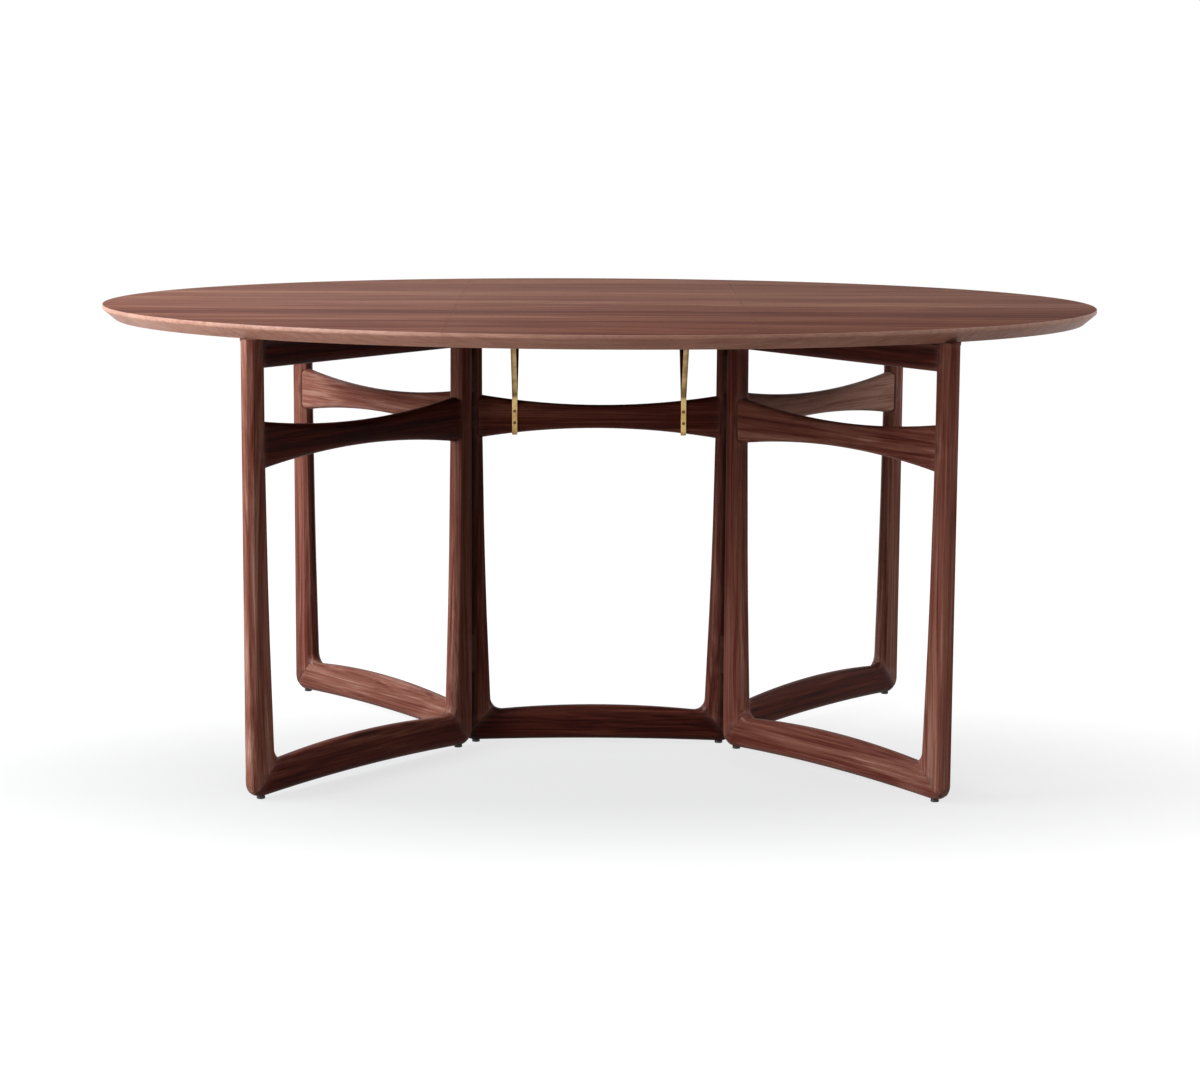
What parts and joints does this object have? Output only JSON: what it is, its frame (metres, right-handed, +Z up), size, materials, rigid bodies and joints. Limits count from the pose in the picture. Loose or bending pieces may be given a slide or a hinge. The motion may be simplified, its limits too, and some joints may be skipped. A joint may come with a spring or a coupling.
{
  "type": "drop-leaf dining table",
  "caption": "Oval walnut drop-leaf dining table on a fixed centre frame with swinging gate frames, waisted rails and brass braces.",
  "frame": {"origin": "on the floor under the middle of the top", "axes": "+X along the long axis of the oval, +Y from the front edge to the rear edge, +Z up"},
  "size_m": [1.5999, 1.16, 0.725],
  "materials": {
    "walnut": "oiled satin",
    "brass": "satin",
    "blackened_steel": "blackened steel, satin",
    "glide": "matte"
  },
  "bodies": {
    "centre": {"centre_top": "walnut", "centre_leg_left": "walnut", "centre_leg_right": "walnut", "centre_top_rail": "walnut", "centre_mid_rail": "walnut", "centre_bottom_rail": "walnut", "centre_glides": "glide", "brace_left": "brass", "brace_right": "brass", "gate_hinge_fixed_plates_left": "blackened_steel", "gate_hinge_fixed_plates_right": "blackened_steel", "leaf_hinge_fixed_plates": "brass"},
    "gate_front_left": {"gate_front_left_inner_leg": "walnut", "gate_front_left_outer_leg": "walnut", "gate_front_left_bottom_rail": "walnut", "gate_front_left_mid_rail": "walnut", "gate_front_left_top_rail": "walnut", "gate_front_left_glides": "glide", "gate_front_left_hinge_plates": "blackened_steel"},
    "gate_front_right": {"gate_front_right_inner_leg": "walnut", "gate_front_right_outer_leg": "walnut", "gate_front_right_bottom_rail": "walnut", "gate_front_right_mid_rail": "walnut", "gate_front_right_top_rail": "walnut", "gate_front_right_glides": "glide", "gate_front_right_hinge_plates": "blackened_steel"},
    "gate_rear_left": {"gate_rear_left_inner_leg": "walnut", "gate_rear_left_outer_leg": "walnut", "gate_rear_left_bottom_rail": "walnut", "gate_rear_left_mid_rail": "walnut", "gate_rear_left_top_rail": "walnut", "gate_rear_left_glides": "glide", "gate_rear_left_hinge_plates": "blackened_steel"},
    "gate_rear_right": {"gate_rear_right_inner_leg": "walnut", "gate_rear_right_outer_leg": "walnut", "gate_rear_right_bottom_rail": "walnut", "gate_rear_right_mid_rail": "walnut", "gate_rear_right_top_rail": "walnut", "gate_rear_right_glides": "glide", "gate_rear_right_hinge_plates": "blackened_steel"},
    "leaf_left_body": {"leaf_left": "walnut", "leaf_left_hinge_plates": "brass", "leaf_left_stops": "walnut"},
    "leaf_right_body": {"leaf_right": "walnut", "leaf_right_hinge_plates": "brass", "leaf_right_stops": "walnut"}
  },
  "joints": [
    {"name": "gate_front_left_swing", "type": "hinge", "parent": "centre", "child": "gate_front_left", "pos_m": [-0.217, -0.016, 0.381], "axis": [0, 0, 1], "range_deg": [0, 38]},
    {"name": "gate_front_right_swing", "type": "hinge", "parent": "centre", "child": "gate_front_right", "pos_m": [0.217, -0.016, 0.381], "axis": [0, 0, -1], "range_deg": [0, 38]},
    {"name": "gate_rear_left_swing", "type": "hinge", "parent": "centre", "child": "gate_rear_left", "pos_m": [-0.217, 0.016, 0.381], "axis": [0, 0, -1], "range_deg": [0, 38]},
    {"name": "gate_rear_right_swing", "type": "hinge", "parent": "centre", "child": "gate_rear_right", "pos_m": [0.217, 0.016, 0.381], "axis": [0, 0, 1], "range_deg": [0, 38]},
    {"name": "leaf_left_lift", "type": "hinge", "parent": "centre", "child": "leaf_left_body", "pos_m": [-0.23, 0, 0.702], "axis": [0, 1, 0], "range_deg": [0, 0.6]},
    {"name": "leaf_right_lift", "type": "hinge", "parent": "centre", "child": "leaf_right_body", "pos_m": [0.23, 0, 0.702], "axis": [0, -1, 0], "range_deg": [0, 0.6]}
  ]
}
